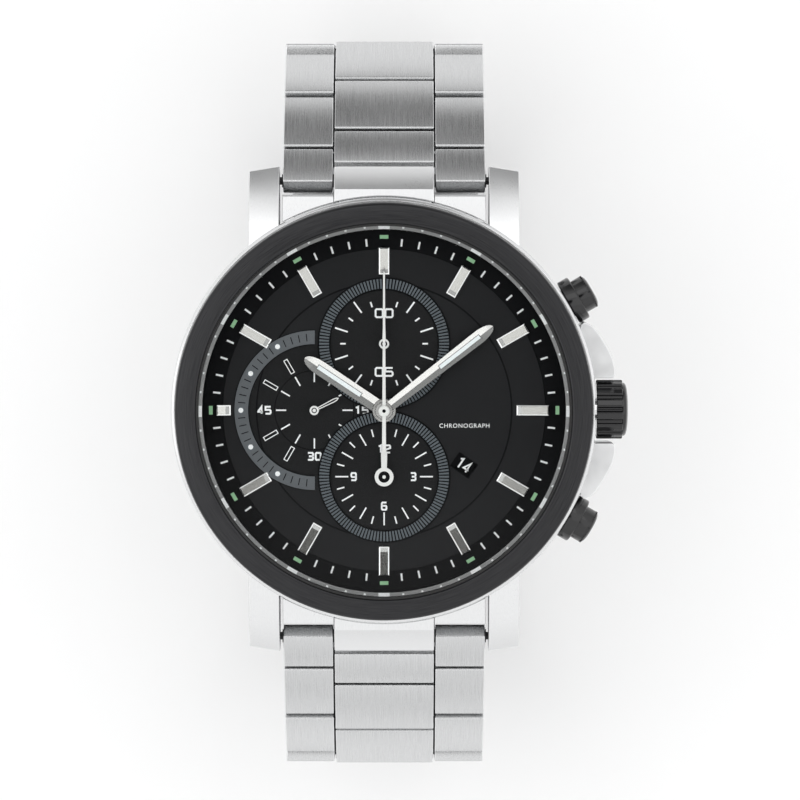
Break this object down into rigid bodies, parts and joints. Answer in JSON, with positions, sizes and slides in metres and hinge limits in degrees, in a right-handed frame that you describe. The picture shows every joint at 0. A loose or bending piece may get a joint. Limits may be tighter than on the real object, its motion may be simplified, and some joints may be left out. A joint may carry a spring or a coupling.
{
  "type": "chronograph wristwatch",
  "caption": "Round steel chronograph wristwatch with a black bezel and dial, counters, a date window, crown and pushers, on a hinged link bracelet with a folding clasp.",
  "frame": {"origin": "on the flat underside of the clasp cover, on which the closed watch stands, straight below the hands' axis", "axes": "+Z out of the dial, +Y to 12 o'clock, +X to 3 o'clock and the crown"},
  "size_m": [0.0495, 0.0802, 0.0543],
  "materials": {
    "case_steel": "brushed stainless steel",
    "bracelet_steel": "brushed along its length, polished edges",
    "polished_steel": "polished",
    "black_bezel": "black coating, brushed in circles",
    "gloss_black": "gloss black coating",
    "dial_black": "satin black, white printing",
    "crystal": "clear, flat",
    "rubber": "matt",
    "movement_brass": "plated plate",
    "battery_steel": "plain",
    "coil_copper": "enamelled copper wire",
    "grey_plastic": "moulded"
  },
  "bodies": {
    "case": {"case_body": "case_steel", "bezel": "black_bezel", "crystal": "crystal", "crystal_gasket": "rubber", "flange_ring": "dial_black", "dial": "dial_black", "movement_module": "movement_brass", "battery": "battery_steel", "motor_coil": "coil_copper", "movement_ring": "grey_plastic", "caseback": "case_steel", "caseback_gasket": "rubber", "crown_tube": "polished_steel", "upper_pusher_tube": "gloss_black", "lower_pusher_tube": "gloss_black", "upper_pusher_spring": "polished_steel", "lower_pusher_spring": "polished_steel", "end_link_12": "bracelet_steel", "end_link_6": "bracelet_steel", "spring_bar_12": "polished_steel", "spring_bar_6": "polished_steel"},
    "hour_hand": {"hour_hand": "polished_steel"},
    "minute_hand": {"minute_hand": "polished_steel"},
    "chrono_seconds_hand": {"chrono_seconds_hand": "polished_steel"},
    "upper_counter_hand": {"upper_counter_hand": "polished_steel"},
    "lower_counter_hand": {"lower_counter_hand": "polished_steel"},
    "running_seconds_hand": {"running_seconds_hand": "polished_steel"},
    "date_disc": {"date_disc": "dial_black"},
    "crown_slider": {"crown_gasket": "rubber"},
    "crown": {"crown": "gloss_black", "crown_stem": "polished_steel"},
    "upper_pusher": {"upper_pusher": "gloss_black"},
    "lower_pusher": {"lower_pusher": "gloss_black"},
    "link_12_1": {"link_12_1": "bracelet_steel"},
    "link_12_2": {"link_12_2": "bracelet_steel"},
    "link_12_3": {"link_12_3": "bracelet_steel"},
    "link_12_4": {"link_12_4": "bracelet_steel"},
    "link_12_5": {"link_12_5": "bracelet_steel"},
    "link_12_6": {"link_12_6": "bracelet_steel"},
    "link_12_7": {"link_12_7": "bracelet_steel"},
    "link_12_8": {"link_12_8": "bracelet_steel"},
    "link_12_9": {"link_12_9": "bracelet_steel"},
    "link_6_1": {"link_6_1": "bracelet_steel"},
    "link_6_2": {"link_6_2": "bracelet_steel"},
    "link_6_3": {"link_6_3": "bracelet_steel"},
    "link_6_4": {"link_6_4": "bracelet_steel"},
    "link_6_5": {"link_6_5": "bracelet_steel"},
    "link_6_6": {"link_6_6": "bracelet_steel"},
    "link_6_7": {"link_6_7": "bracelet_steel"},
    "link_6_8": {"link_6_8": "bracelet_steel"},
    "link_6_9": {"link_6_9": "bracelet_steel"},
    "clasp_cover": {"clasp_cover": "bracelet_steel", "clasp_pivot_left": "polished_steel", "clasp_pivot_right": "polished_steel"},
    "clasp_inner_blade": {"clasp_inner_blade": "bracelet_steel", "clasp_fold_pin": "polished_steel"},
    "clasp_fork": {"clasp_fork": "bracelet_steel"},
    "clasp_button_left": {"clasp_button_left": "polished_steel"},
    "clasp_button_right": {"clasp_button_right": "polished_steel"}
  },
  "joints": [
    {"name": "minute_hand_turn", "type": "hinge", "parent": "case", "child": "minute_hand", "pos_m": [0, 0, 0.04961], "axis": [0, 0, -1], "continuous": true},
    {"name": "hour_hand_turn", "type": "hinge", "parent": "case", "child": "hour_hand", "pos_m": [0, 0, 0.04961], "axis": [0, 0, -1], "continuous": true},
    {"name": "running_seconds_turn", "type": "hinge", "parent": "case", "child": "running_seconds_hand", "pos_m": [-0.00755, 0, 0.04961], "axis": [0, 0, -1], "continuous": true},
    {"name": "date_disc_turn", "type": "hinge", "parent": "case", "child": "date_disc", "pos_m": [0, 0, 0.04961], "axis": [0, 0, -1], "continuous": true},
    {"name": "chrono_seconds_turn", "type": "hinge", "parent": "case", "child": "chrono_seconds_hand", "pos_m": [0, 0, 0.04961], "axis": [0, 0, -1], "continuous": true},
    {"name": "upper_counter_turn", "type": "hinge", "parent": "case", "child": "upper_counter_hand", "pos_m": [0, 0.0072, 0.04961], "axis": [0, 0, -1], "continuous": true},
    {"name": "lower_counter_turn", "type": "hinge", "parent": "case", "child": "lower_counter_hand", "pos_m": [0, -0.0072, 0.04961], "axis": [0, 0, -1], "continuous": true},
    {"name": "crown_pull", "type": "slide", "parent": "case", "child": "crown_slider", "axis": [1, 0, 0], "range_m": [0, 0.001]},
    {"name": "crown_turn", "type": "hinge", "parent": "crown_slider", "child": "crown", "pos_m": [0.024, 0, 0.04731], "axis": [1, 0, 0], "continuous": true},
    {"name": "upper_pusher_press", "type": "slide", "parent": "case", "child": "upper_pusher", "axis": [-0.866, -0.5, 0], "range_m": [0, 0.0007], "stiffness_N_per_m": 300, "springref_m": -0.002},
    {"name": "lower_pusher_press", "type": "slide", "parent": "case", "child": "lower_pusher", "axis": [-0.866, 0.5, 0], "range_m": [0, 0.0007], "stiffness_N_per_m": 300, "springref_m": -0.002},
    {"name": "link_12_1_hinge", "type": "hinge", "parent": "case", "child": "link_12_1", "pos_m": [0, 0.0248, 0.04611], "axis": [-1, 0, 0], "range_deg": [-37, 0]},
    {"name": "link_12_2_hinge", "type": "hinge", "parent": "link_12_1", "child": "link_12_2", "pos_m": [0, 0.02855, 0.04328], "axis": [-1, 0, 0], "range_deg": [-4, 0]},
    {"name": "link_12_3_hinge", "type": "hinge", "parent": "link_12_2", "child": "link_12_3", "pos_m": [0, 0.03414, 0.03842], "axis": [-1, 0, 0], "range_deg": [-12, 0]},
    {"name": "link_12_4_hinge", "type": "hinge", "parent": "link_12_3", "child": "link_12_4", "pos_m": [0, 0.03859, 0.03251], "axis": [-1, 0, 0], "range_deg": [-37, 0]},
    {"name": "link_12_5_hinge", "type": "hinge", "parent": "link_12_4", "child": "link_12_5", "pos_m": [0, 0.03859, 0.02511], "axis": [-1, 0, 0], "range_deg": [-14, 0]},
    {"name": "link_12_6_hinge", "type": "hinge", "parent": "link_12_5", "child": "link_12_6", "pos_m": [0, 0.0368, 0.01793], "axis": [-1, 0, 0], "range_deg": [-11, 0]},
    {"name": "link_12_7_hinge", "type": "hinge", "parent": "link_12_6", "child": "link_12_7", "pos_m": [0, 0.03367, 0.01123], "axis": [-1, 0, 0], "range_deg": [-17, 0]},
    {"name": "link_12_8_hinge", "type": "hinge", "parent": "link_12_7", "child": "link_12_8", "pos_m": [0, 0.02872, 0.00573], "axis": [-1, 0, 0], "range_deg": [-23, 0]},
    {"name": "link_12_9_hinge", "type": "hinge", "parent": "link_12_8", "child": "link_12_9", "pos_m": [0, 0.02202, 0.0026], "axis": [-1, 0, 0], "range_deg": [-25, 0]},
    {"name": "link_6_1_hinge", "type": "hinge", "parent": "case", "child": "link_6_1", "pos_m": [0, -0.0248, 0.04611], "axis": [-1, 0, 0], "range_deg": [0, 37]},
    {"name": "link_6_2_hinge", "type": "hinge", "parent": "link_6_1", "child": "link_6_2", "pos_m": [0, -0.02855, 0.04328], "axis": [-1, 0, 0], "range_deg": [0, 4]},
    {"name": "link_6_3_hinge", "type": "hinge", "parent": "link_6_2", "child": "link_6_3", "pos_m": [0, -0.03414, 0.03842], "axis": [-1, 0, 0], "range_deg": [0, 12]},
    {"name": "link_6_4_hinge", "type": "hinge", "parent": "link_6_3", "child": "link_6_4", "pos_m": [0, -0.03859, 0.03251], "axis": [-1, 0, 0], "range_deg": [0, 37]},
    {"name": "link_6_5_hinge", "type": "hinge", "parent": "link_6_4", "child": "link_6_5", "pos_m": [0, -0.03859, 0.02511], "axis": [-1, 0, 0], "range_deg": [0, 14]},
    {"name": "link_6_6_hinge", "type": "hinge", "parent": "link_6_5", "child": "link_6_6", "pos_m": [0, -0.0368, 0.01793], "axis": [-1, 0, 0], "range_deg": [0, 11]},
    {"name": "link_6_7_hinge", "type": "hinge", "parent": "link_6_6", "child": "link_6_7", "pos_m": [0, -0.03367, 0.01123], "axis": [-1, 0, 0], "range_deg": [0, 17]},
    {"name": "link_6_8_hinge", "type": "hinge", "parent": "link_6_7", "child": "link_6_8", "pos_m": [0, -0.02872, 0.00573], "axis": [-1, 0, 0], "range_deg": [0, 23]},
    {"name": "link_6_9_hinge", "type": "hinge", "parent": "link_6_8", "child": "link_6_9", "pos_m": [0, -0.02202, 0.0026], "axis": [-1, 0, 0], "range_deg": [0, 25]},
    {"name": "clasp_cover_hinge", "type": "hinge", "parent": "link_6_9", "child": "clasp_cover", "pos_m": [0, -0.01462, 0.0026], "axis": [-1, 0, 0], "range_deg": [0, 25]},
    {"name": "clasp_blade_hinge", "type": "hinge", "parent": "clasp_cover", "child": "clasp_inner_blade", "pos_m": [0, 0.01462, 0.0026], "axis": [-1, 0, 0], "range_deg": [0, 90]},
    {"name": "clasp_fork_hinge", "type": "hinge", "parent": "clasp_inner_blade", "child": "clasp_fork", "pos_m": [0, -0.0105, 0.00215], "axis": [1, 0, 0], "range_deg": [0, 95]},
    {"name": "clasp_button_right_press", "type": "slide", "parent": "clasp_cover", "child": "clasp_button_right", "axis": [-1, 0, 0], "range_m": [0, 0.0005], "stiffness_N_per_m": 250, "springref_m": -0.002},
    {"name": "clasp_button_left_press", "type": "slide", "parent": "clasp_cover", "child": "clasp_button_left", "axis": [1, 0, 0], "range_m": [0, 0.0005], "stiffness_N_per_m": 250, "springref_m": -0.002}
  ],
  "couplings": [
    {"joint": "hour_hand_turn", "follows": "minute_hand_turn", "ratio": 0.083333},
    {"joint": "date_disc_turn", "follows": "minute_hand_turn", "ratio": 0.0013441},
    {"joint": "running_seconds_turn", "follows": "minute_hand_turn", "ratio": 60},
    {"joint": "upper_counter_turn", "follows": "chrono_seconds_turn", "ratio": 60},
    {"joint": "lower_counter_turn", "follows": "chrono_seconds_turn", "ratio": 0.0013889}
  ]
}
